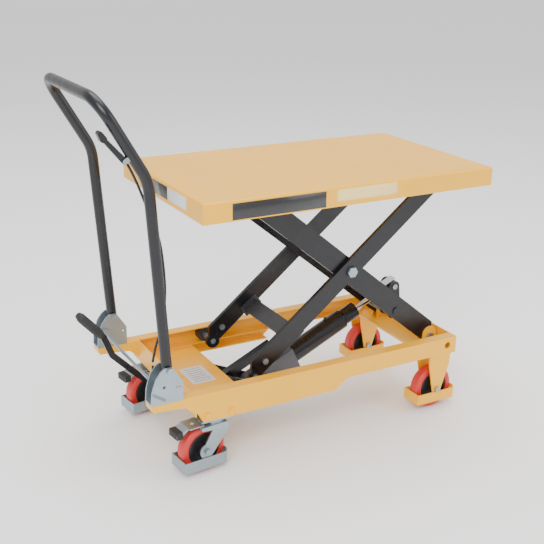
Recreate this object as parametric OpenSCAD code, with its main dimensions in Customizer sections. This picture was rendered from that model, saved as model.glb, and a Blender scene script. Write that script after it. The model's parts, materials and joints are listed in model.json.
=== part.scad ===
/* [Table] */
// Length of the platform
platform_len = 850; // [850:1:860]
// Width of the platform
platform_wid = 500; // [500:1:510]
// Depth of the platform's skirt
platform_dep = 50; // [46:1:54]
// Wall of the platform's sheet
platform_wall = 4; // [3:0.5:5]
/* [Scissor] */
// Distance from a scissor arm's end pin to its middle pin
arm_half = 380.17; // [380.17]
// Angle between the pins of a scissor arm and the floor
lift_angle = 40.52; // [40.52]
// Diameter of the rollers at the ends of the arms
roller_d = 41; // [39:0.5:41]
/* [Chassis] */
// Half width over the side rails
rail_y = 208; // [208]
// Height of the top of the rails
rail_top = 218.5; // [218.5]
// Sheet thickness of the rails
sheet = 4; // [3:0.5:4]
/* [Wheels] */
// Diameter of all four wheels
wheel_d = 125; // [120:1:125]
// Width of a wheel
wheel_w = 32; // [28:1:34]
// Swivel angle of the right caster as parked
swivel_right = 6; // [0:1:10]
// Swivel angle of the left caster as parked
swivel_left = 9; // [0:1:10]
/* [Handle] */
// Diameter of the handle's tube
tube_d = 27; // [24:0.5:28]
// Distance of a handle tube from the middle plane
tube_y = 190; // [190]
/* [Hidden] */
$fn = 48;
gap = 0.05;
shift_x = 115.3;
base_x = 356;
base_z = 194;
spread = 2 * arm_half * cos(lift_angle);
rise = 2 * arm_half * sin(lift_angle);
roll_x = base_x - spread;
mid_x = base_x - spread / 2;
mid_z = base_z + rise / 2;
top_pin_z = base_z + rise;
top_z = top_pin_z + 30;
bar_tilt = 39;
fork_x = 333;
fork_y = 174;
axle_z = wheel_d / 2;
swivel_x = -369;
swivel_y = 182;
trail = 38;
hinge_x = -497;
hinge_z = 303;
ram_x = -165;
ram_z = 106;
ram_angle = 25.06;
ram_len = 510;
arm_s = -99.4;
arm_n = 70.7;
pedal_x = ram_x + arm_s * cos(ram_angle) - arm_n * sin(ram_angle);
pedal_z = ram_z + arm_s * sin(ram_angle) + arm_n * cos(ram_angle);

module placed() translate([shift_x, 0, 0]) children();
module both() { children(); mirror([0, 1, 0]) children(); }
module side(s) { if (s > 0) mirror([0, 1, 0]) children(); else children(); }
// flat plate in the XZ plane from y0 to y1
module slab(y0, y1) translate([0, y1, 0]) rotate([90, 0, 0]) linear_extrude(y1 - y0) children();
// round bar across the table
module bar_y(x, z, y0, y1, r) translate([x, y1, z]) rotate([90, 0, 0]) cylinder(h = y1 - y0, r = r);
module bar_x(y, z, x0, x1, r) translate([x0, y, z]) rotate([0, 90, 0]) cylinder(h = x1 - x0, r = r);
module bar_z(x, y, z0, z1, r) translate([x, y, z0]) cylinder(h = z1 - z0, r = r);
module box(a, b) translate(a) cube(b - a);
module hex_y(x, z, y0, y1, r) translate([x, y1, z]) rotate([90, 0, 0]) cylinder(h = y1 - y0, r = r, $fn = 6);
// bar with round ends between two points
module strap(a, b, ra, rb) {
    d = b - a;
    turn = atan2(d[1], d[0]);
    off = acos((ra - rb) / norm(d));
    translate(a) circle(ra);
    translate(b) circle(rb);
    polygon([for (k = [-1, 1]) a + ra * [cos(turn + k * off), sin(turn + k * off)],
        for (k = [1, -1]) b + rb * [cos(turn + k * off), sin(turn + k * off)]]);
}
// bar with square ends between two points
module strip(a, b, w) {
    side_step = w * [a[1] - b[1], b[0] - a[0]] / norm(b - a);
    polygon([a + side_step, b + side_step, b - side_step, a - side_step]);
}
// flexible round cable through a list of points
module rod_path(points, r) for (i = [0 : len(points) - 2]) hull() {
    translate(points[i]) sphere(r, $fn = 10);
    translate(points[i + 1]) sphere(r, $fn = 10);
}

// chassis
module rail(s) color("orange") placed() side(s) difference() {
    box([-427, -rail_y, 170], [384, -177, rail_top]);
    box([-428, -rail_y + sheet, 173], [385, -176, rail_top - 3]);
    bar_y(358, 195.6, -rail_y - 1, -rail_y + 5, 10);
}
module belly(s) color("orange") placed() side(s) {
    slab(-rail_y, -rail_y + sheet) polygon([[-424, 170], [19, 170], [-16, 141], [-408, 141]]);
    difference() {
        union() {
            box([-406, -rail_y + 1, 141], [-18, -177, 145]);
            box([-405, -178, 141], [-300, -130, 145]);
        }
        for (x = [-404, -334], y = [-194, -146]) bar_z(x, y, 140, 146, 4);
    }
}
module rear_deck() color("orange") placed() {
    box([-430, -rail_y, 160], [-427, rail_y, rail_top]);
    difference() {
        box([-427, -204, 167], [-264, 204, 170]);
        both() bar_z(-338, -122, 166, 171, 4);
    }
}
module ear(s) color("orange") placed() side(s) difference() {
    slab(-rail_y, -172) polygon([[-430, rail_top], [-546, rail_top], [-546, 205], [-540, 198], [-500, 197],
        [-455, 192], [-433, 172], [-430, 172]]);
    box([-540, -204, 160], [-434, -176, 214.5]);
}
module front_member() color("orange") placed() {
    box([384, -rail_y, 170], [388, rail_y, rail_top]);
    box([290, -177, 170], [384, 177, 173]);
    box([290, -170, 173], [293, 170, 177]);
}
module pivot_lugs() color("orange") placed() both() for (y = [-127, -109]) difference() {
    slab(y, y + (y == -127 ? 4 : 6)) union() {
        translate([base_x, 200]) circle(24);
        polygon([[332, 173], [380, 173], [380, 200], [332, 200]]);
    }
    bar_y(base_x, base_z, y - 1, y + 7, 8);
}
module pump_cradle() color("dimgray") placed() both() difference() {
    slab(-42, -36) union() {
        polygon([[-300, 167], [-264, 167], [-158, 120.4], [-172, 91.6], [-290, 142]]);
        translate([ram_x, ram_z]) circle(16);
    }
    bar_y(ram_x, ram_z, -43, -35, 8);
}
module wheel_guard(x0, x1, z0, z1, half, t) difference() {
    union() {
        box([x0, -half, z0], [x1 - 20, half, z1]);
        box([x1 - 21, -half + 20, z0], [x1, half - 20, z1]);
        for (k = [-1, 1]) translate([x1 - 20, k * (half - 20), z0]) cylinder(h = z1 - z0, r = 20);
    }
    box([x0 + t, -half + t, z0 - 1], [x1 - 20, half - t, z1 + 1]);
    box([x1 - 21, -half + 20, z0 - 1], [x1 - t, half - 20, z1 + 1]);
    for (k = [-1, 1]) translate([x1 - 20, k * (half - 20), z0 - 1]) cylinder(h = z1 - z0 + 2, r = 20 - t);
}
module front_fork(s) color("orange") placed() side(s) translate([0, -fork_y, 0]) {
    box([300, -33, 166], [373, 33, 170]);
    both() difference() {
        slab(-30, -26) union() {
            polygon([[302, 166], [373, 166], [373, 137], [347, 56], [319, 56], [302, 140]]);
            translate([fork_x, axle_z]) circle(14.5);
        }
        bar_y(fork_x, axle_z, -31, -25, 5);
    }
    wheel_guard(266.6, 404.4, 24, 54.5, 33.4, 3.4);
}
module bracket(s) color("lightslategray") placed() side(s) {
    box([-547, -210, rail_top], [-463, -170, 222]);
    for (y = [-210, -174]) difference() {
        slab(y, y + 4) polygon([[-463, 222], [-463, 269], [-485, 303], [-492, 312], [-510, 312], [-521, 304],
            [-533, 288], [-540, 268], [-545, 250], [-547, 222]]);
        bar_y(hinge_x, hinge_z, y - 1, y + 5, 5);
        bar_y(-512.5, 262.3, y - 1, y + 5, 4 + gap);
        slab(y - 1, y + 5) strap([-479, 258], [-472, 258], 2.5, 2.5);
    }
}
module caster_plates() color("silver") placed() both() translate([swivel_x, -swivel_y, 0]) {
    difference() {
        box([-45, -26, 137], [45, 46, 141]);
        for (x = [-35, 35], y = [-12, 36]) bar_z(x, y, 136, 142, 4);
    }
    bar_z(0, 0, 131, 137, 27);
    bar_z(0, 0, 126, 131, 8);
    translate([0, 0, 121.3]) cylinder(h = 5, r = 9.5, $fn = 6);
}
module front_axles() color("silver") placed() both() {
    bar_y(fork_x, axle_z, -fork_y - 38, -fork_y + 38, 5);
    for (y = [-fork_y - 38, -fork_y + 33.4]) hex_y(fork_x, axle_z, y, y + 4.6, 9);
}
module chassis_bolts() color("goldenrod") placed() both() {
    for (p = [[-397, 158], [-330, 157]]) hex_y(p[0], p[1], -rail_y - 5, -rail_y, 8);
    for (x = [-404, -334], y = [-194, -146]) {
        bar_z(x, y, 137, 145, 4);
        translate([x, y, 145]) cylinder(h = 5, r = 7, $fn = 6);
    }
    bar_z(-338, -122, 167, 170, 4);
    translate([-338, -122, 170]) cylinder(h = 2.5, r = 7, $fn = 6);
}
module handle_bolts() color("silver") placed() both() {
    bar_y(hinge_x, hinge_z, -210, -170, 5);
    hex_y(hinge_x, hinge_z, -216, -210, 9);
    hex_y(hinge_x, hinge_z, -170, -163, 9);
}
module chassis_pins() color("silver") placed() {
    both() {
        bar_y(base_x, base_z, -130, -103, 8);
        hex_y(base_x, base_z, -134, -127, 12);
    }
    bar_y(ram_x, ram_z, -46, 46, 8);
}
module deck_label() color("lavender") placed() box([-366, -58, 170], [-300, 42, 170.4]);
module cable_lower() color("black") placed() rod_path([[-520, -158, 300], [-517, -151, 255], [-511, -140, 205],
    [-490, -125, 165], [-450, -112, 148], [-400, -95, 147], [-330, -75, 147], [-260, -58, 145], [-190, -50, 134],
    [-112, -45, 124]], 3);

// wheels
module tyre() color("crimson") rotate([90, 0, 0]) difference() {
    rotate_extrude($fn = 96) polygon([[44, -16], [axle_z - 4, -16], [axle_z, -12], [axle_z, 12],
        [axle_z - 4, 16], [44, 16]]);
    translate([0, 0, -20]) cylinder(h = 40, r = 45, $fn = 96);
}
module hub() color("dimgray") rotate([90, 0, 0]) difference() {
    union() {
        translate([0, 0, -14]) cylinder(h = 28, r = 45, $fn = 96);
        translate([0, 0, -22]) cylinder(h = 44, r = 12);
    }
    for (k = [-1, 1]) translate([0, 0, k * 13 - 5]) difference() {
        cylinder(h = 10, r = 38);
        translate([0, 0, -1]) cylinder(h = 12, r = 17);
    }
    translate([0, 0, -30]) cylinder(h = 60, r = 5 + gap);
}
module front_wheel_at(s) placed() translate([fork_x, s * fork_y, axle_z]) children();
// frame of a caster, x forward and the swivel axis at x = 0
module caster_at(s) placed() translate([swivel_x, s * swivel_y, 0])
    rotate([0, 0, s < 0 ? swivel_right : swivel_left]) children();
module caster_yoke(s) color("slategray") caster_at(s) {
    difference() {
        union() {
            bar_z(0, 0, 127, 130.9, 30);
            box([-36, -32, 127], [24, 32, 130.9]);
        }
        bar_z(0, 0, 126, 132, 8 + gap);
    }
    both() difference() {
        slab(-32, -28) union() {
            polygon([[-16, 127], [28, 127], [27, 110], [-20, 53], [-57, 58]]);
            translate([-trail, axle_z]) circle(20);
        }
        bar_y(-trail, axle_z, -33, -27, 5);
    }
    both() difference() {
        slab(-32, -28) strap([-48, 126], [-20, 124], 4.9, 6);
        bar_y(-48, 126, -33, -27, 2.5 + gap);
    }
    wheel_guard(-103, 28, 16, 47, 35, 3);
}
module caster_axle(s) color("silver") caster_at(s) {
    bar_y(-trail, axle_z, -32, 32, 5);
    both() hex_y(-trail, axle_z, -40, -32, 9);
}
module caster_brake(s) color("silver") caster_at(s) {
    difference() {
        union() {
            box([-84, -25, 132], [-44, 25, 135]);
            both() slab(-26, -23) polygon([[-53, 135], [-43, 135], [-43, 124], [-53, 124]]);
            slab(-20, 20) polygon([[-84, 135], [-84, 132], [-100, 120], [-118, 112], [-118, 124], [-100, 130]]);
        }
        bar_z(-64, 0, 130, 137, 6);
    }
    both() bar_y(-48, 126, -32, -26, 2.5);
}

// inner arms, hinged at the chassis: t runs up the arm and n square to it
function inner(t, n) = [base_x - t * cos(bar_tilt) + n * sin(bar_tilt), base_z + t * sin(bar_tilt) + n * cos(bar_tilt)];
function outer(t, n) = [roll_x + t * cos(bar_tilt) - n * sin(bar_tilt), base_z + t * sin(bar_tilt) + n * cos(bar_tilt)];
module inner_arm(s) color("dimgray") placed() side(s) difference() {
    union() {
        slab(-122, -111) union() {
            polygon([inner(4, -20), inner(20, -22), inner(744, -22), inner(764, 4), inner(764, 37),
                inner(758, 38), inner(20, 38), inner(6, 20)]);
            translate([base_x, base_z]) circle(20.5);
            translate([roll_x, top_pin_z]) circle(20);
        }
        bar_y(233, 293, -125, -122, 11);
    }
    bar_y(base_x, base_z, -126, -110, 8 + gap);
    bar_y(mid_x, mid_z, -126, -110, 10);
    bar_y(roll_x, top_pin_z, -126, -110, 8);
}
module inner_tube() color("dimgray") placed() {
    bar_y(300, 244, -111, 111, 19);
    both() difference() {
        slab(-24, -16) strap([300, 244], [297, 322], 22, 17);
        bar_y(297, 322, -25, -15, 8);
    }
}
module inner_pins() color("silver") placed() {
    bar_y(297, 322, -27, 27, 8);
    both() {
        bar_y(mid_x, mid_z, -134, -111, 10);
        hex_y(mid_x, mid_z, -142, -135, 15);
        bar_y(mid_x, mid_z, -135, -134, 10);
        bar_y(roll_x, top_pin_z, -122, -84, 8);
    }
}
module outer_arm(s) color("dimgray") placed() side(s) difference() {
    slab(-134, -123) union() {
        polygon([outer(4, -10), outer(760, -7.7), outer(778, 14), outer(774, 38), outer(766, 42),
            outer(20, 42.3), outer(0, 20), outer(-18, 6)]);
        translate([roll_x, base_z]) circle(20);
        translate([base_x, top_pin_z]) circle(22.5);
    }
    bar_y(roll_x, base_z, -135, -122, 8);
    bar_y(mid_x, mid_z, -135, -122, 10 + gap);
    bar_y(base_x, top_pin_z, -135, -122, 8 + gap);
    bar_y(-195, 234, -135, -122, 6);
}
module outer_tie() color("gray") placed() {
    both() difference() {
        slab(-123, -119) translate([-103, 285]) rotate(bar_tilt) square([60, 34], center = true);
        bar_y(-103, 285, -124, -118, 5);
    }
    difference() {
        slab(-119, 119) translate([-103, 285]) rotate(bar_tilt) square([46, 8], center = true);
        bar_y(-103, 285, -120, 120, 0.5);
    }
}
module outer_pins() color("silver") placed() both() {
    bar_y(roll_x, base_z, -203.5, -123, 8);
    hex_y(-195, 234, -140, -134, 9);
    bar_y(-195, 234, -134, -123, 6);
    hex_y(-195, 234, -123, -117, 9);
    bar_y(-103, 285, -123, -119, 5);
}
module roller(r) difference() {
    rotate([90, 0, 0]) cylinder(h = 24, r = r, center = true);
    rotate([90, 0, 0]) cylinder(h = 26, r = 8 + gap, center = true);
}
module lower_rollers() color("black") placed() both() translate([roll_x, -190.5, base_z]) roller(roller_d / 2);
module upper_rollers() color("black") placed() both() translate([roll_x, -98, top_pin_z]) roller(20);

// table
module soft_block(l, w, z0, z1, r) {
    intersection() {
        slab(-w / 2, w / 2) {
            translate([-l / 2, z0]) square([l, z1 - z0 - r]);
            translate([-l / 2 + r, z1 - r - 0.01]) square([l - 2 * r, r + 0.01]);
            for (k = [-1, 1]) translate([k * (l / 2 - r), z1 - r]) circle(r);
        }
        translate([-l / 2, 0, 0]) rotate([90, 0, 90]) linear_extrude(l) {
            translate([-w / 2, z0]) square([w, z1 - z0 - r]);
            translate([-w / 2 + r, z1 - r - 0.01]) square([w - 2 * r, r + 0.01]);
            for (k = [-1, 1]) translate([k * (w / 2 - r), z1 - r]) circle(r);
        }
    }
}
module platform() color("orange") placed() {
    difference() {
        soft_block(platform_len, platform_wid, top_z - platform_dep, top_z, 7);
        soft_block(platform_len - 2 * platform_wall, platform_wid - 2 * platform_wall, top_z - platform_dep - 1,
            top_z - platform_wall, 3.5);
    }
    both() difference() {
        slab(-142, -136) translate([330, top_z - 54]) square([52, 50]);
        bar_y(base_x, top_pin_z, -143, -135, 8);
    }
    both() bar_y(base_x, top_pin_z, -142, -123, 8);
}
module table_tracks() color("orange") placed() both() {
    box([-418, -110.4, top_pin_z + 20.5], [20, -82, top_z - platform_wall]);
    box([-418, -82, top_pin_z - 24], [20, -79, top_z - platform_wall]);
    box([-418, -110.4, top_pin_z - 24], [20, -82, top_pin_z - 20.8]);
}
module nameplates() placed() {
    half_l = platform_len / 2;
    half_w = platform_wid / 2;
    color("black") box([-350, -half_w - 0.4, 671], [-96, -half_w, top_z - 7]);
    color("lightyellow") box([-64, -half_w - 0.4, 681], [114, -half_w, top_z - 7]);
    color("white") box([-half_l - 0.4, -158, 680], [-half_l, -49, top_z - 7]);
    color("black") box([-half_l - 0.4, -46, 678], [-half_l, 46, top_z - 7]);
}

// hydraulic unit, drawn along its own axis: s runs up the ram and n square to it
module ram_frame() placed() translate([ram_x, 0, ram_z]) rotate([0, -ram_angle, 0]) children();
module ram_barrel() color("dimgray") ram_frame() difference() {
    union() {
        bar_x(0, 0, 143, 326, 28);
        bar_x(0, 0, 326, 375, 23);
        bar_z(280, 0, 20, 34, 6);
    }
    bar_x(0, 0, 152, 330, 23);
    bar_x(0, 0, 329, 376, 9 + gap);
}
module pump_body() color("gray") ram_frame() difference() {
    union() {
        slab(-35, 35) strap([0, 0], [34, 0], 17, 17);
        box([34, -30, -32], [143, 30, 32]);
        bar_z(99, 0, 32, 59.7, 15);
        bar_y(70, -12, -40, -30, 9);
        bar_z(120, 20, 32, 40, 6);
    }
    bar_y(0, 0, -36, 36, 8 + gap);
}
module pump_arm() color("dimgray") ram_frame() difference() {
    union() {
        box([arm_s, -11, 59.7], [99.3, 11, 81.7]);
        bar_y(arm_s, arm_n, -11, 11, 11);
    }
    bar_y(arm_s, arm_n, -12, 12, 6 + gap);
}
module ram_rod() color("white") ram_frame() {
    bar_x(0, 0, 250, 492, 9);
    bar_x(0, 0, 232, 250, 22.9);
    difference() {
        slab(-14, 14) translate([ram_len - 20, -32]) square([38, 48]);
        slab(-15, 15) strap([ram_len - 1.5, 0.3], [ram_len - 1.5, -16], 9, 9);
        slab(-15, 15) strap([ram_len + 2, 0.3], [ram_len + 2, -16], 9, 9);
    }
}
module pedal_lever() color("dimgray") placed() {
    points = [[pedal_x, pedal_z], [-430, 134], [-462, 167], [-504, 206], [-558, 262], [-580, 318], [-626.8, 370.1]];
    slab(20, 32) {
        for (i = [0 : len(points) - 2]) strip(points[i], points[i + 1], 8);
        for (i = [0 : len(points) - 1]) translate(points[i]) circle(i == 0 ? 11 : 8.3);
    }
    bar_y(pedal_x, pedal_z, -11, 20, 6);
}
module pedal_pad() color("black") placed() translate([-580, 0, 318]) rotate([0, -131.9, 0]) difference() {
    box([4, 8, -11], [92, 46, 11]);
    box([-1, 20, -8.4], [78.6, 32, 8.4]);
    for (i = [0 : 6]) box([12 + 11 * i, 7, -12], [16 + 11 * i, 47, -9.5]);
}

// push handle
lean = 4.16;
bend = 26.14;
bend_r = 120;
corner_r = 60;
low_run = 440.3;
high_run = 132.2;
module upper_frame() translate([-bend_r, 0, low_run]) rotate([0, -bend, 0]) translate([bend_r, 0, 0]) children();
module handle_frame() placed() translate([hinge_x, 0, hinge_z]) rotate([0, -lean, 0]) children();
module handle_path(r, ext) {
    both() translate([0, -tube_y, 0]) {
        bar_z(0, 0, -14 - ext, low_run, r);
        translate([-bend_r, 0, low_run]) rotate([90, 0, 0]) rotate_extrude(angle = bend) translate([bend_r, 0]) circle(r);
        upper_frame() {
            bar_z(0, 0, 0, high_run, r);
            translate([0, corner_r, high_run]) rotate([90, 0, -90]) rotate_extrude(angle = 90) translate([corner_r, 0]) circle(r);
        }
    }
    upper_frame() bar_y(0, high_run + corner_r, corner_r - tube_y, tube_y - corner_r, r);
}
module handle_tube() color("dimgray") handle_frame() difference() {
    handle_path(tube_d / 2, 0);
    handle_path(tube_d / 2 - 2.5, 1);
    both() bar_y(0, 0, -tube_y - 20, -tube_y + 20, 5 + gap);
}
module release_lever() color("dimgray") handle_frame() upper_frame() translate([-21, -tube_y, 44]) {
    difference() {
        union() {
            slab(-4, 4) strap([0, 0], [-14, 74], 7, 5);
            slab(-8, 8) strap([-14, 70], [-14, 84], 8, 6);
        }
        bar_y(0, 0, -5, 5, 3 + gap);
    }
}
module cable_upper() color("black") placed() rod_path([[-584, -170, 830], [-567, -172, 800], [-545, -171, 750],
    [-520, -170, 680], [-499, -170, 620], [-489, -169, 540], [-488, -168, 470], [-499, -166, 400],
    [-513, -163, 350], [-521, -161, 312]], 3);
module lever_clamp() color("silver") handle_frame() upper_frame() translate([-21, -tube_y, 44]) {
    bar_y(0, 0, -8, 8, 3);
    for (y = [-8, 5]) slab(y, y + 3) strap([0, 0], [6.4, 0], 6, 6);
}
module lock_bail() color("silver") placed() {
    bar_y(-535, 273, -168, 168, 4);
    both() {
        slab(-168, -164) strap([-535, 273], [-512.5, 262.3], 4, 6);
        bar_y(-512.5, 262.3, -174, -168, 4);
    }
}

rail(-1);  // rail_right
rail(1);  // rail_left
belly(-1);  // belly_right
belly(1);  // belly_left
rear_deck();
ear(-1);  // ear_right
ear(1);  // ear_left
front_member();
pivot_lugs();
pump_cradle();
front_fork(-1);  // fork_right
front_fork(1);  // fork_left
bracket(-1);  // bracket_right
bracket(1);  // bracket_left
caster_plates();
front_axles();
chassis_bolts();
handle_bolts();
chassis_pins();
deck_label();
cable_lower();
front_wheel_at(-1) tyre();  // front_tyre_right
front_wheel_at(1) tyre();  // front_tyre_left
front_wheel_at(-1) hub();  // front_hub_right
front_wheel_at(1) hub();  // front_hub_left
caster_yoke(-1);  // caster_yoke_right
caster_yoke(1);  // caster_yoke_left
caster_axle(-1);  // caster_axle_right
caster_axle(1);  // caster_axle_left
caster_at(-1) translate([-trail, 0, axle_z]) tyre();  // caster_tyre_right
caster_at(1) translate([-trail, 0, axle_z]) tyre();  // caster_tyre_left
caster_at(-1) translate([-trail, 0, axle_z]) hub();  // caster_hub_right
caster_at(1) translate([-trail, 0, axle_z]) hub();  // caster_hub_left
caster_brake(-1);  // caster_brake_right
caster_brake(1);  // caster_brake_left
inner_arm(-1);  // inner_arm_right
inner_arm(1);  // inner_arm_left
inner_tube();
inner_pins();
outer_arm(-1);  // outer_arm_right
outer_arm(1);  // outer_arm_left
outer_tie();
outer_pins();
lower_rollers();
upper_rollers();
platform();
table_tracks();
nameplates();
ram_barrel();
pump_body();
pump_arm();
ram_rod();
pedal_lever();
pedal_pad();
handle_tube();
release_lever();
lever_clamp();
cable_upper();
lock_bail();
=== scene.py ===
import json
import math
import bmesh
import bpy
from mathutils import Matrix, Vector


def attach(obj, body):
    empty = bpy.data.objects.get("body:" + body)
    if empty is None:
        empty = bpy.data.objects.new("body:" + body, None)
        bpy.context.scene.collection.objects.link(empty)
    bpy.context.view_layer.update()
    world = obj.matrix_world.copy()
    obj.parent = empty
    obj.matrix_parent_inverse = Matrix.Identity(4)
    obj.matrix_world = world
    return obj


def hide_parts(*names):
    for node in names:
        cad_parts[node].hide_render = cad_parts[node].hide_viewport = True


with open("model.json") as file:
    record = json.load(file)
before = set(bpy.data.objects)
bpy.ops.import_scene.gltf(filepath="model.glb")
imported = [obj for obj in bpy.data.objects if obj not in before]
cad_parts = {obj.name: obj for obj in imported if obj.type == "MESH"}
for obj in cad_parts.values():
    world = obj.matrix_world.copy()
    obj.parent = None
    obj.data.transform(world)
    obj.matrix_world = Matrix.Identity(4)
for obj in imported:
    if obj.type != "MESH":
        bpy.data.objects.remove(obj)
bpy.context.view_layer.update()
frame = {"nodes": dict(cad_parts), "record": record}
nodes = frame["nodes"]
shiftX = 0.1153  # from the platform's middle to the frame's origin
print("frame loaded", len(nodes), "nodes")


def at(x, y, z):
    return Vector((x / 1000 + shiftX, y / 1000, z / 1000))  # millimetres from the platform's middle


view = {"place": (-1307.9, -2139.9, 1309.7), "lens": 63.46, "sensor": 36,
        "right": (0.87402, -0.48562, 0.01601), "up": (0.15153, 0.30373, 0.94063),
        "ahead": (0.46165, 0.81971, -0.33905)}


def makeCamera():
    data = bpy.data.cameras.new("viewCamera")
    data.lens = view["lens"]
    data.sensor_width = view["sensor"]
    data.clip_start, data.clip_end = 0.05, 60
    camera = bpy.data.objects.new("viewCamera", data)
    bpy.context.scene.collection.objects.link(camera)
    turn = Matrix((view["right"], view["up"], [-v for v in view["ahead"]])).transposed()
    camera.matrix_world = Matrix.Translation(at(*view["place"])) @ turn.to_4x4()
    bpy.context.scene.camera = camera


def newGroup(name, inputs, outputs):
    group = bpy.data.node_groups.new(name, "ShaderNodeTree")
    for label, kind, value in inputs:
        socket = group.interface.new_socket(label, in_out="INPUT", socket_type=kind)
        socket.default_value = value
    for label, kind in outputs:
        group.interface.new_socket(label, in_out="OUTPUT", socket_type=kind)
    return group, group.nodes.new("NodeGroupInput"), group.nodes.new("NodeGroupOutput")


def addNoise(tree, vector, scale, detail=3.0):
    node = tree.nodes.new("ShaderNodeTexNoise")
    node.inputs["Scale"].default_value = scale
    node.inputs["Detail"].default_value = detail
    node.inputs["Roughness"].default_value = 0.55
    tree.links.new(vector, node.inputs["Vector"])
    return node.outputs["Fac"]


def remap(tree, value, low, high, toLow, toHigh):
    node = tree.nodes.new("ShaderNodeMapRange")
    for index, number in enumerate((low, high, toLow, toHigh)):
        node.inputs[index + 1].default_value = number
    tree.links.new(value, node.inputs[0])
    return node.outputs[0]


def multiply(tree, first, second):
    node = tree.nodes.new("ShaderNodeMath")
    node.operation = "MULTIPLY"
    tree.links.new(first, node.inputs[0])
    tree.links.new(second, node.inputs[1])
    return node.outputs[0]


# lengths in metres
surface = {"slowScale": 5.0, "cloudScale": 38.0, "wornRadius": 0.0016, "bumpDepth": 0.0006}


def makeFinishGroup():
    # slow tone drift, fine grain and lighter worn edges of a factory finish
    tree, source, result = newGroup(
        "factoryFinish",
        [("Tone", "NodeSocketColor", (0.8, 0.5, 0.1, 1)), ("Worn", "NodeSocketColor", (0.5, 0.45, 0.4, 1)),
         ("Drift", "NodeSocketFloat", 0.08), ("Grain", "NodeSocketFloat", 350.0),
         ("Wear", "NodeSocketFloat", 0.3), ("Roughness", "NodeSocketFloat", 0.4),
         ("Relief", "NodeSocketFloat", 0.05)],
        [("Color", "NodeSocketColor"), ("Roughness", "NodeSocketFloat"), ("Normal", "NodeSocketVector")])
    place = tree.nodes.new("ShaderNodeTexCoord").outputs["Object"]
    slow = addNoise(tree, place, surface["slowScale"], 4.0)
    cloud = addNoise(tree, place, surface["cloudScale"])
    fine = tree.nodes.new("ShaderNodeTexNoise")
    fine.inputs["Detail"].default_value = 2.0
    tree.links.new(place, fine.inputs["Vector"])
    tree.links.new(source.outputs["Grain"], fine.inputs["Scale"])
    drift = tree.nodes.new("ShaderNodeHueSaturation")
    tree.links.new(source.outputs["Tone"], drift.inputs["Color"])
    swing = multiply(tree, remap(tree, slow, 0.3, 0.7, -1.0, 1.0), source.outputs["Drift"])
    lift = tree.nodes.new("ShaderNodeMath")
    lift.operation = "ADD"
    lift.inputs[1].default_value = 1.0
    tree.links.new(swing, lift.inputs[0])
    tree.links.new(lift.outputs[0], drift.inputs["Value"])
    edge = tree.nodes.new("ShaderNodeBevel")
    edge.samples = 4
    edge.inputs["Radius"].default_value = surface["wornRadius"]
    geometry = tree.nodes.new("ShaderNodeNewGeometry")
    dot = tree.nodes.new("ShaderNodeVectorMath")
    dot.operation = "DOT_PRODUCT"
    tree.links.new(edge.outputs[0], dot.inputs[0])
    tree.links.new(geometry.outputs["Normal"], dot.inputs[1])
    worn = remap(tree, dot.outputs["Value"], 0.97, 0.8, 0.0, 1.0)
    patchy = multiply(tree, worn, remap(tree, cloud, 0.5, 0.68, 0.0, 1.0))
    amount = multiply(tree, patchy, source.outputs["Wear"])
    mix = tree.nodes.new("ShaderNodeMix")
    mix.data_type = "RGBA"
    tree.links.new(amount, mix.inputs["Factor"])
    tree.links.new(drift.outputs[0], mix.inputs["A"])
    tree.links.new(source.outputs["Worn"], mix.inputs["B"])
    tree.links.new(mix.outputs["Result"], result.inputs["Color"])
    gloss = tree.nodes.new("ShaderNodeMath")
    gloss.operation = "ADD"
    tree.links.new(source.outputs["Roughness"], gloss.inputs[0])
    tree.links.new(remap(tree, cloud, 0.3, 0.7, -0.05, 0.08), gloss.inputs[1])
    tree.links.new(gloss.outputs[0], result.inputs["Roughness"])
    bump = tree.nodes.new("ShaderNodeBump")
    bump.inputs["Distance"].default_value = surface["bumpDepth"]
    tree.links.new(fine.outputs["Fac"], bump.inputs["Height"])
    tree.links.new(source.outputs["Relief"], bump.inputs["Strength"])
    tree.links.new(bump.outputs[0], result.inputs["Normal"])
    return tree


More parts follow.
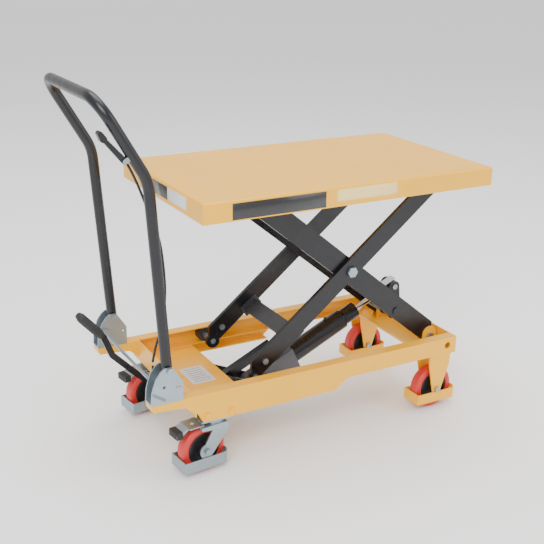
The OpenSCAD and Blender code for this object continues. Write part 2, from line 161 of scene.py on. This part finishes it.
finishes = {
    "yellow": {"tone": (0.93, 0.46, 0.0), "worn": (0.7, 0.42, 0.06), "rough": 0.36,
               "drift": 0.04, "wear": 0.2, "coat": 0.2, "relief": 0.05},
    "black": {"tone": (0.004, 0.0045, 0.007), "worn": (0.06, 0.06, 0.065), "rough": 0.3,
              "drift": 0.2, "wear": 0.3, "relief": 0.08},
    "zinc": {"tone": (0.33, 0.40, 0.44), "worn": (0.5, 0.55, 0.58), "rough": 0.36,
             "drift": 0.12, "wear": 0.5, "metal": 0.85, "relief": 0.1},
    "chrome": {"tone": (0.74, 0.75, 0.77), "worn": (0.7, 0.7, 0.7), "rough": 0.09,
               "drift": 0.02, "wear": 0.0, "metal": 1.0, "relief": 0.01},
    "grey": {"tone": (0.035, 0.04, 0.048), "worn": (0.3, 0.3, 0.3), "rough": 0.4,
             "drift": 0.12, "wear": 0.4, "relief": 0.1},
    "castiron": {"tone": (0.085, 0.09, 0.105), "worn": (0.25, 0.26, 0.27), "rough": 0.45,
                 "drift": 0.2, "wear": 0.5, "metal": 0.35, "relief": 0.35, "grain": 160.0},
    "red": {"tone": (0.58, 0.028, 0.022), "worn": (0.45, 0.1, 0.08), "rough": 0.38,
            "drift": 0.1, "wear": 0.3, "relief": 0.08},
    "hub": {"tone": (0.012, 0.012, 0.014), "worn": (0.05, 0.05, 0.05), "rough": 0.42,
            "drift": 0.15, "wear": 0.3, "relief": 0.1},
    "rubber": {"tone": (0.016, 0.016, 0.017), "worn": (0.06, 0.06, 0.06), "rough": 0.62,
               "drift": 0.2, "wear": 0.4, "relief": 0.2},
    "nylon": {"tone": (0.03, 0.03, 0.032), "worn": (0.1, 0.1, 0.1), "rough": 0.5,
              "drift": 0.1, "wear": 0.3, "relief": 0.1},
    "label": {"tone": (0.66, 0.68, 0.72), "worn": (0.6, 0.6, 0.6), "rough": 0.3,
              "drift": 0.04, "wear": 0.0, "coat": 0.3, "relief": 0.02},
    "paleYellow": {"tone": (0.92, 0.68, 0.25), "worn": (0.8, 0.6, 0.3), "rough": 0.32,
                   "drift": 0.03, "wear": 0.0, "coat": 0.3, "relief": 0.02},
    "plate": {"tone": (0.012, 0.012, 0.013), "worn": (0.05, 0.05, 0.05), "rough": 0.3,
              "drift": 0.1, "wear": 0.0, "coat": 0.3, "relief": 0.02},
    "markDark": {"tone": (0.05, 0.05, 0.06), "worn": (0.05, 0.05, 0.05), "rough": 0.45,
                 "drift": 0.1, "wear": 0.0, "relief": 0.02},
    "markPale": {"tone": (0.8, 0.8, 0.76), "worn": (0.7, 0.7, 0.7), "rough": 0.4,
                 "drift": 0.03, "wear": 0.0, "relief": 0.02},
}


def makeFinish(name, group):
    values = finishes[name]
    material = bpy.data.materials.new(name + "Finish")
    material.use_nodes = True
    tree = material.node_tree
    shader = tree.nodes["Principled BSDF"]
    shader.inputs["Metallic"].default_value = values.get("metal", 0.0)
    shader.inputs["Coat Weight"].default_value = values.get("coat", 0.0)
    shader.inputs["Coat Roughness"].default_value = 0.15
    node = tree.nodes.new("ShaderNodeGroup")
    node.node_tree = group
    node.inputs["Tone"].default_value = (*values["tone"], 1)
    node.inputs["Worn"].default_value = (*values["worn"], 1)
    node.inputs["Drift"].default_value = values["drift"]
    node.inputs["Grain"].default_value = values.get("grain", 420.0)
    node.inputs["Wear"].default_value = values["wear"]
    node.inputs["Roughness"].default_value = values["rough"]
    node.inputs["Relief"].default_value = values["relief"]
    tree.links.new(node.outputs["Color"], shader.inputs["Base Color"])
    tree.links.new(node.outputs["Roughness"], shader.inputs["Roughness"])
    tree.links.new(node.outputs["Normal"], shader.inputs["Normal"])
    return material


def addPiece(name, mesh, body, material, replaced=()):
    piece = bpy.data.objects.new(name, mesh)
    bpy.context.scene.collection.objects.link(piece)
    mesh.materials.clear()
    mesh.materials.append(material)
    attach(piece, body)
    if replaced:
        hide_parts(*replaced)


def meshFrom(name, form, smooth=True):
    bmesh.ops.remove_doubles(form, verts=form.verts, dist=1e-6)
    bmesh.ops.recalc_face_normals(form, faces=form.faces)
    mesh = bpy.data.meshes.new(name)
    form.to_mesh(mesh)
    form.free()
    for face in mesh.polygons:
        face.use_smooth = smooth
    return mesh


def lathe(name, outline, centre, axis, steps=96):
    # turns an outline of (along, radius) points about an axis, closed on itself
    form = bmesh.new()
    side = Vector((0, 0, 1))
    cross = axis.cross(side)
    rings = []
    for step in range(steps):
        angle = 2 * math.pi * step / steps
        spoke = side * math.cos(angle) + cross * math.sin(angle)
        rings.append([form.verts.new(centre + axis * along + spoke * radius) for along, radius in outline])
    count = len(outline)
    for step in range(steps):
        here, there = rings[step], rings[(step + 1) % steps]
        for index in range(count):
            after = (index + 1) % count
            form.faces.new((here[index], here[after], there[after], there[index]))
    return meshFrom(name, form)


def smoothRoute(points, per=8):
    # even curve through the listed points
    route = []
    for index in range(len(points) - 1):
        before = points[max(index - 1, 0)]
        start, end = points[index], points[index + 1]
        after = points[min(index + 2, len(points) - 1)]
        for step in range(per):
            t = step / per
            bend = 2 * before - 5 * start + 4 * end - after
            twist = 3 * start - before - 3 * end + after
            route.append(0.5 * (2 * start + (end - before) * t + bend * t * t + twist * t ** 3))
    route.append(points[-1])
    return route


def tube(name, route, radius, sides=14):
    form = bmesh.new()
    rings = []
    side = None
    for index, point in enumerate(route):
        ahead = (route[min(index + 1, len(route) - 1)] - route[max(index - 1, 0)]).normalized()
        if side is None:
            side = ahead.orthogonal().normalized()
        side = (side - ahead * side.dot(ahead)).normalized()
        cross = ahead.cross(side)
        angles = [2 * math.pi * k / sides for k in range(sides)]
        rings.append([form.verts.new(point + radius * (side * math.cos(a) + cross * math.sin(a)))
                      for a in angles])
    for here, there in zip(rings, rings[1:]):
        for k in range(sides):
            form.faces.new((here[k], here[(k + 1) % sides], there[(k + 1) % sides], there[k]))
    form.faces.new(rings[0][::-1])
    form.faces.new(rings[-1])
    return meshFrom(name, form)


def roundedBox(name, low, high, radius, turn=None, pivot=None, segments=3):
    form = bmesh.new()
    bmesh.ops.create_cube(form, size=1)
    for vert in form.verts:
        vert.co = Vector([low[i] + (high[i] - low[i]) * (vert.co[i] + 0.5) for i in range(3)])
    bmesh.ops.bevel(form, geom=form.edges[:], offset=radius, segments=segments, profile=0.5, affect="EDGES")
    if turn is not None:
        for vert in form.verts:
            vert.co = pivot + turn @ vert.co
    return meshFrom(name, form)


def makeRowTree():
    # a row of copies of one block along a line
    tree = bpy.data.node_groups.new("blockRow", "GeometryNodeTree")
    wanted = [("Count", "NodeSocketInt"), ("Start", "NodeSocketVector"), ("Step", "NodeSocketVector"),
              ("Block", "NodeSocketVector"), ("Turn", "NodeSocketVector"), ("Finish", "NodeSocketMaterial")]
    sockets = {}
    for label, kind in wanted:
        sockets[label] = tree.interface.new_socket(label, in_out="INPUT", socket_type=kind).identifier
    tree.interface.new_socket("Geometry", in_out="OUTPUT", socket_type="NodeSocketGeometry")
    source = tree.nodes.new("NodeGroupInput")
    result = tree.nodes.new("NodeGroupOutput")
    line = tree.nodes.new("GeometryNodeMeshLine")
    block = tree.nodes.new("GeometryNodeMeshCube")
    copies = tree.nodes.new("GeometryNodeInstanceOnPoints")
    real = tree.nodes.new("GeometryNodeRealizeInstances")
    paint = tree.nodes.new("GeometryNodeSetMaterial")
    links = tree.links
    links.new(source.outputs["Count"], line.inputs["Count"])
    links.new(source.outputs["Start"], line.inputs["Start Location"])
    links.new(source.outputs["Step"], line.inputs["Offset"])
    links.new(source.outputs["Block"], block.inputs["Size"])
    links.new(line.outputs[0], copies.inputs["Points"])
    links.new(block.outputs[0], copies.inputs["Instance"])
    links.new(source.outputs["Turn"], copies.inputs["Rotation"])
    links.new(copies.outputs[0], real.inputs[0])
    links.new(real.outputs[0], paint.inputs["Geometry"])
    links.new(source.outputs["Finish"], paint.inputs["Material"])
    links.new(paint.outputs[0], result.inputs[0])
    return tree, sockets


def bakeRow(name, tree, sockets, values, material, soften=0.0):
    holder = bpy.data.objects.new(name + "Holder", bpy.data.meshes.new(name + "Holder"))
    bpy.context.scene.collection.objects.link(holder)
    modifier = holder.modifiers.new("row", "NODES")
    modifier.node_group = tree
    for label, value in values.items():
        modifier[sockets[label]] = value
    modifier[sockets["Finish"]] = material
    graph = bpy.context.evaluated_depsgraph_get()
    mesh = bpy.data.meshes.new_from_object(holder.evaluated_get(graph))
    bpy.data.objects.remove(holder)
    form = bmesh.new()
    form.from_mesh(mesh)
    if soften:
        bmesh.ops.bevel(form, geom=form.edges[:], offset=soften, segments=2, profile=0.5, affect="EDGES")
    bpy.data.meshes.remove(mesh)
    return meshFrom(name, form, smooth=False)


# from here to the stage, sizes and places are millimetres from the platform's middle, and turns degrees
tyre = {"radius": 62.5, "inner": 45.0, "halfWidth": 16.0, "shoulder": 7.0, "crown": 0.6, "lip": 4.0,
        "arcSteps": 8}
frontWheels = {"x": 333, "y": 174, "z": 62.5}
casters = {"right": (-369, -182, 6), "left": (-369, 182, 9)}  # kingpin's x, y and the turn in degrees
casterTrail = 38


def tyreOutline():
    wanted = ("radius", "inner", "halfWidth", "shoulder", "crown", "lip")
    r, inner, half, soft, crown, lip = (tyre[key] / 1000 for key in wanted)
    steps = tyre["arcSteps"]
    angles = [math.pi / 2 * k / steps for k in range(steps + 1)]
    outline = [(-half, inner), (-half, inner + lip)]
    outline += [(-half + soft - soft * math.cos(a), r - soft + soft * math.sin(a) - crown) for a in angles]
    outline += [(0.0, r)]
    outline += [(half - soft + soft * math.sin(a), r - soft + soft * math.cos(a) - crown) for a in angles]
    outline += [(half, inner + lip), (half, inner)]
    return outline


def makeTyre(name, mesh, body, node, materials):
    addPiece(name, mesh, body, materials["red"], [node])


def makeTyres(materials):
    for side, sign in (("right", -1), ("left", 1)):
        centre = at(frontWheels["x"], sign * frontWheels["y"], frontWheels["z"])
        mesh = lathe("frontTyre" + side, tyreOutline(), centre, Vector((0, 1, 0)))
        makeTyre("frontTread" + side.title(), mesh, "front_wheel_" + side, "front_tyre_" + side, materials)
        x, y, turn = casters[side]
        angle = math.radians(turn)
        centre = at(x - casterTrail * math.cos(angle), y - casterTrail * math.sin(angle), frontWheels["z"])
        axle = Vector((-math.sin(angle), math.cos(angle), 0))
        mesh = lathe("casterTyre" + side, tyreOutline(), centre, axle)
        makeTyre("casterTread" + side.title(), mesh, "caster_wheel_" + side, "caster_tyre_" + side, materials)


cables = {
    "radius": 3,
    "lower": [(-520, -158, 300), (-517, -151, 255), (-511, -140, 205), (-490, -125, 165), (-450, -112, 148),
              (-400, -95, 147), (-330, -75, 147), (-260, -58, 145), (-190, -50, 134), (-112, -45, 124)],
    "upper": [(-584, -170, 830), (-567, -172, 800), (-545, -171, 750), (-520, -170, 680), (-499, -170, 620),
              (-489, -169, 540), (-488, -168, 470), (-499, -166, 400), (-513, -163, 350), (-521, -161, 312)]}


def makeCables(materials):
    for part, body in (("lower", "chassis"), ("upper", "handle")):
        route = smoothRoute([at(*point) for point in cables[part]])
        mesh = tube(part + "Cable", route, cables["radius"] / 1000)
        addPiece(part + "CableSleeve", mesh, body, materials["rubber"], ["cable_" + part])


spring = {"start": (-543, -212.8, 249), "end": (-510, -212.8, 228), "turns": 11, "radius": 2.6,
          "wire": 0.7, "tail": 4, "stepsPerTurn": 14}


def makeSpring(materials):
    start, end = at(*spring["start"]), at(*spring["end"])
    along = end - start
    ahead = along.normalized()
    tail = ahead * spring["tail"] / 1000
    side = Vector((0, 1, 0))
    cross = ahead.cross(side)
    count = spring["turns"] * spring["stepsPerTurn"]
    route = [start - tail]
    for k in range(count + 1):
        angle = 2 * math.pi * spring["turns"] * k / count
        spoke = side * math.cos(angle) + cross * math.sin(angle)
        route.append(start + along * k / count + spring["radius"] / 1000 * spoke)
    route.append(end + tail)
    mesh = tube("returnSpring", route, spring["wire"] / 1000, sides=8)
    addPiece("returnSpring", mesh, "chassis", materials["zinc"])


pad = {"foot": (-580, 318), "turn": 131.9, "low": (4, 8, -10), "high": (92, 46, 10), "round": 8.5,
       "ribs": 14, "rib": 3.2, "ribSoft": 0.7, "endGap": 12, "sideGap": 7}


def makePad(materials, tree, sockets):
    turn = Matrix.Rotation(-math.radians(pad["turn"]), 3, "Y")
    pivot = at(pad["foot"][0], 0, pad["foot"][1])
    low, high = [Vector(pad[key]) / 1000 for key in ("low", "high")]
    rib, endGap, sideGap = (pad[key] / 1000 for key in ("rib", "endGap", "sideGap"))
    body = roundedBox("pedalPadBody", low, high, pad["round"] / 1000, turn, pivot, segments=5)
    addPiece("pedalPadBlock", body, "pedal", materials["rubber"], ["pedal_pad"])
    step = (high.x - low.x - 2 * endGap) / (pad["ribs"] - 1)
    for name, depth in (("pedalRibsUnder", high.z), ("pedalRibsTop", low.z)):
        start = pivot + turn @ Vector((low.x + endGap, (low.y + high.y) / 2, depth))
        values = {"Count": pad["ribs"], "Start": start, "Step": turn @ Vector((step, 0, 0)),
                  "Block": (rib, high.y - low.y - 2 * sideGap, rib),
                  "Turn": (0, -math.radians(pad["turn"]), 0)}
        mesh = bakeRow(name, tree, sockets, values, materials["rubber"], pad["ribSoft"] / 1000)
        addPiece(name, mesh, "pedal", materials["rubber"])


brakePad = {"low": (-118.5, -21, 110.5), "high": (-99, 21, 130.5), "round": 3}


def makeBrakePads(materials):
    for side, (x, y, turn) in casters.items():
        low, high = [Vector(brakePad[key]) / 1000 for key in ("low", "high")]
        spin = Matrix.Rotation(math.radians(turn), 3, "Z")
        mesh = roundedBox("brakePad" + side, low, high, brakePad["round"] / 1000, spin, at(x, y, 0))
        addPiece("brakePad" + side.title(), mesh, "brake_" + side, materials["rubber"])


sidePlates = {  # corners as x, z on the right face
    "sidePlate": {"low": (-350, 671), "high": (-96, 711), "finish": "plate", "mark": "markPale",
                  "rows": 1, "inset": 60, "bar": 4.0, "replaces": ["nameplates"]},
    "sideLabel": {"low": (-64, 681), "high": (114, 711), "finish": "paleYellow", "mark": "markDark",
                  "rows": 3, "inset": 12, "bar": 2.2, "replaces": []}}
rearPlates = {  # corners as y, z on the rear face
    "rearLabel": {"low": (-158, 680), "high": (-49, 711), "finish": "label", "mark": "markDark"},
    "rearPlate": {"low": (-46, 678), "high": (46, 711), "finish": "plate", "mark": "markPale"}}
rearBars = {"rows": 4, "pitch": 6.5, "bar": 1.6, "inset": 8}
deckBars = {"rows": 7, "start": (-333, 30, 170.45), "pitch": 12.5, "length": 48, "bar": 2}
plateFaces = {"right": -249.9, "rear": -424.9, "sheet": 0.5, "softEdge": 0.12, "border": 6, "ink": 0.3}


def addPlate(name, low, high, material, replaced=()):
    mesh = roundedBox(name, low, high, plateFaces["softEdge"] / 1000, segments=1)
    addPiece(name, mesh, "table", material, replaced)


def addBars(name, body, values, material, tree, sockets):
    mesh = bakeRow(name, tree, sockets, {"Turn": (0, 0, 0), **values}, material)
    addPiece(name, mesh, body, material)


def makeSidePlates(materials, tree, sockets):
    face, sheet, ink, border = (plateFaces[key] for key in ("right", "sheet", "ink", "border"))
    for name, plate in sidePlates.items():
        (x0, z0), (x1, z1) = plate["low"], plate["high"]
        low, high = at(x0, face - sheet, z0), at(x1, face, z1)
        addPlate(name, low, high, materials[plate["finish"]], plate["replaces"])
        gap = (z1 - z0 - 2 * border) / plate["rows"]
        width = x1 - x0 - 2 * plate["inset"]
        values = {"Count": plate["rows"], "Start": at((x0 + x1) / 2, face - ink, z0 + border + gap / 2),
                  "Step": (0, 0, gap / 1000), "Block": (width / 1000, ink / 1000, plate["bar"] / 1000)}
        addBars(name + "Bars", "table", values, materials[plate["mark"]], tree, sockets)


def makeRearPlates(materials, tree, sockets):
    face, sheet, ink, border = (plateFaces[key] for key in ("rear", "sheet", "ink", "border"))
    for name, plate in rearPlates.items():
        (y0, z0), (y1, z1) = plate["low"], plate["high"]
        low, high = at(face - sheet, y0, z0), at(face, y1, z1)
        addPlate(name, low, high, materials[plate["finish"]])
        width = y1 - y0 - 2 * rearBars["inset"]
        values = {"Count": rearBars["rows"], "Start": at(face - ink, (y0 + y1) / 2, z0 + border),
                  "Step": (0, 0, rearBars["pitch"] / 1000),
                  "Block": (ink / 1000, width / 1000, rearBars["bar"] / 1000)}
        addBars(name + "Bars", "table", values, materials[plate["mark"]], tree, sockets)


def makeDeckBars(materials, tree, sockets):
    values = {"Count": deckBars["rows"], "Start": at(*deckBars["start"]),
              "Step": (0, -deckBars["pitch"] / 1000, 0),
              "Block": (deckBars["length"] / 1000, deckBars["bar"] / 1000, plateFaces["ink"] / 1000)}
    addBars("deckLabelBars", "chassis", values, materials["grey"], tree, sockets)


# metres in the frame, and lamp powers in watts
stage = {"floor": 14, "paper": (0.97, 0.99), "paperRough": 0.9, "worldStrength": 1.05,
         "aim": (0, 0, 0.4),
         "lamps": {"keyLamp": {"place": (-2.4, -3.0, 3.2), "size": 2.4, "power": 150},
                   "fillLamp": {"place": (3.0, -2.4, 2.2), "size": 2.4, "power": 45},
                   "topLamp": {"place": (0.3, 0.6, 4.2), "size": 3.0, "power": 130}}}


def makeStage():
    form = bmesh.new()
    bmesh.ops.create_grid(form, x_segments=1, y_segments=1, size=stage["floor"])
    floor = bpy.data.objects.new("floor", meshFrom("floor", form, smooth=False))
    bpy.context.scene.collection.objects.link(floor)
    paper = bpy.data.materials.new("paperFloor")
    paper.use_nodes = True
    tree = paper.node_tree
    shader = tree.nodes["Principled BSDF"]
    shader.inputs["Roughness"].default_value = stage["paperRough"]
    noise = tree.nodes.new("ShaderNodeTexNoise")
    noise.inputs["Scale"].default_value = 0.6
    ramp = tree.nodes.new("ShaderNodeMapRange")
    ramp.inputs["To Min"].default_value, ramp.inputs["To Max"].default_value = stage["paper"]
    tree.links.new(tree.nodes.new("ShaderNodeTexCoord").outputs["Object"], noise.inputs["Vector"])
    tree.links.new(noise.outputs["Fac"], ramp.inputs["Value"])
    tree.links.new(ramp.outputs[0], shader.inputs["Base Color"])
    floor.data.materials.append(paper)
    world = bpy.data.worlds.new("studioWorld")
    world.use_nodes = True
    world.node_tree.nodes["Background"].inputs["Color"].default_value = (1, 1, 1, 1)
    world.node_tree.nodes["Background"].inputs["Strength"].default_value = stage["worldStrength"]
    bpy.context.scene.world = world
    for name, values in stage["lamps"].items():
        data = bpy.data.lights.new(name, "AREA")
        data.size, data.energy = values["size"], values["power"]
        lamp = bpy.data.objects.new(name, data)
        lamp.location = values["place"]
        ray = Vector(stage["aim"]) - Vector(values["place"])
        lamp.rotation_euler = ray.to_track_quat("-Z", "Y").to_euler()
        bpy.context.scene.collection.objects.link(lamp)


makeCamera()
makeStage()
print("camera and stage made")
finishGroup = makeFinishGroup()
materials = {name: makeFinish(name, finishGroup) for name in finishes}
slotOf = {part["node"]: part["material_slot"] for part in frame["record"]["subparts"]}
for name, thing in nodes.items():
    for slot in thing.material_slots:
        slot.material = materials[slotOf[name]]
print("materials set on", len(nodes), "nodes")
makeTyres(materials)
makeCables(materials)
makeSpring(materials)
rowTree, rowSockets = makeRowTree()
makePad(materials, rowTree, rowSockets)
makeBrakePads(materials)
makeSidePlates(materials, rowTree, rowSockets)
makeRearPlates(materials, rowTree, rowSockets)
makeDeckBars(materials, rowTree, rowSockets)
print("detailed pieces made")
